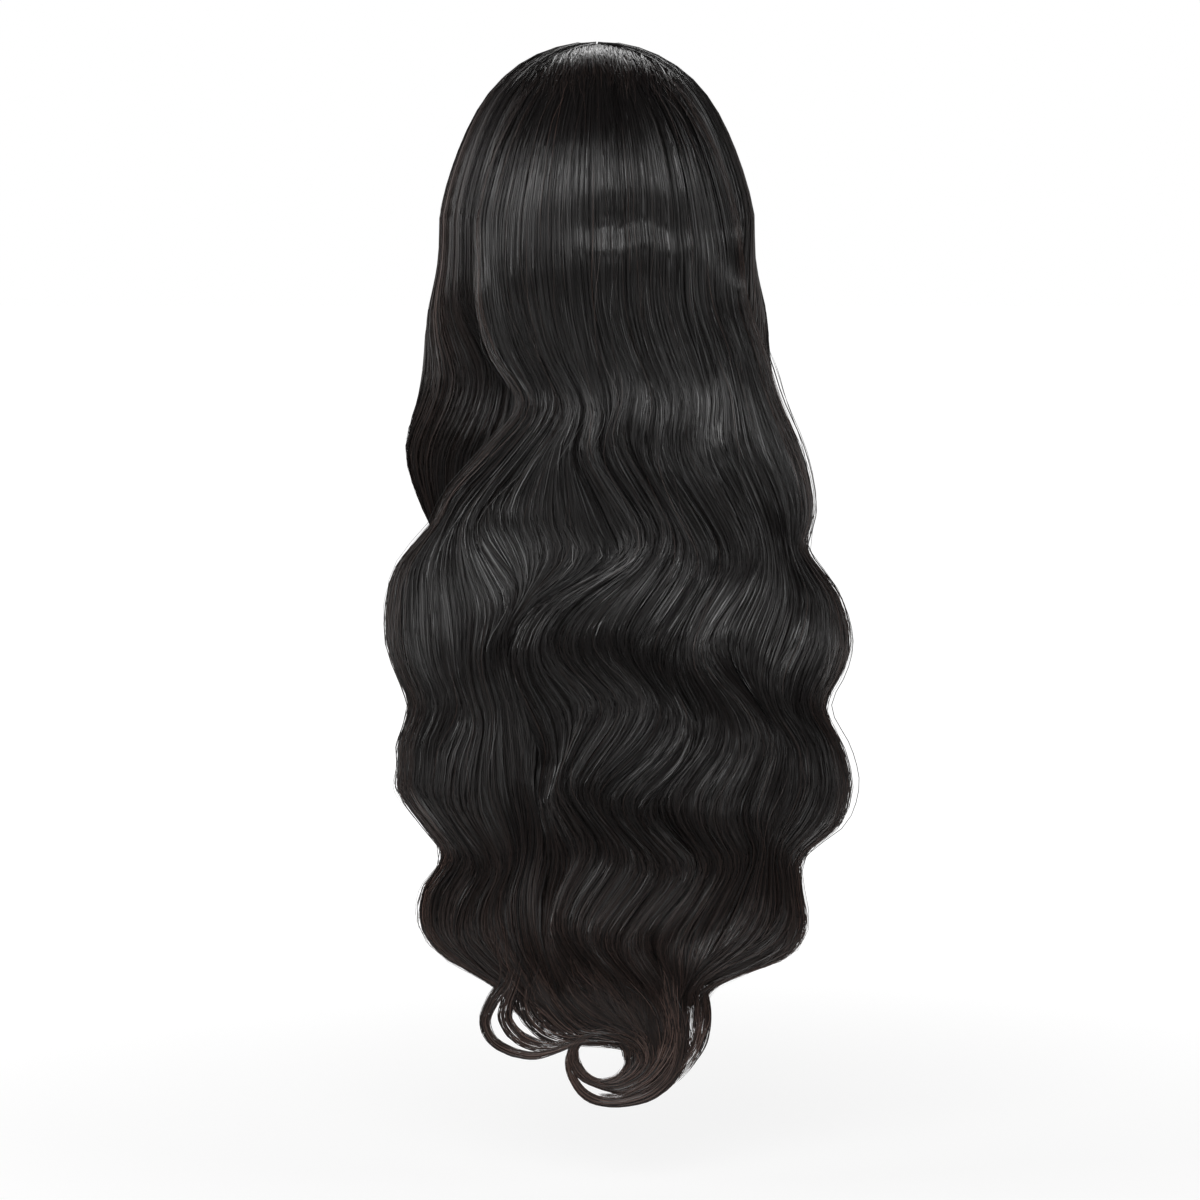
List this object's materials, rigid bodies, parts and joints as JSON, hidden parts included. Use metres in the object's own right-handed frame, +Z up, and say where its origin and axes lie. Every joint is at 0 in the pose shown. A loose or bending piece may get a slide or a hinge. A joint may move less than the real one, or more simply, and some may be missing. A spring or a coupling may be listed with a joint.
{
  "type": "lace closure wig",
  "caption": "Long black wavy wig: a stretch cap with a lace panel at the front, parted front hair over both shoulders and back hair hanging in wavy locks with a curled tip.",
  "frame": {"origin": "inside of the cap at the top of the head, where the wig sits on a head", "axes": "+Z up, +Y the way the wearer faces, +X the wearer's right"},
  "size_m": [0.2849, 0.2145, 0.6591],
  "materials": {
    "hair": "glossy straight to wavy hair, natural black with brown thin tips",
    "cap_net": "matte black stretch net with sewn hair tracks",
    "lace": "fine light brown lace"
  },
  "bodies": {
    "root": {"wig_cap": "cap_net", "lace_closure": "lace", "front_hair_left": "hair", "front_hair_right": "hair", "back_hair_left": "hair", "back_hair_middle": "hair", "back_hair_right": "hair"}
  },
  "joints": []
}
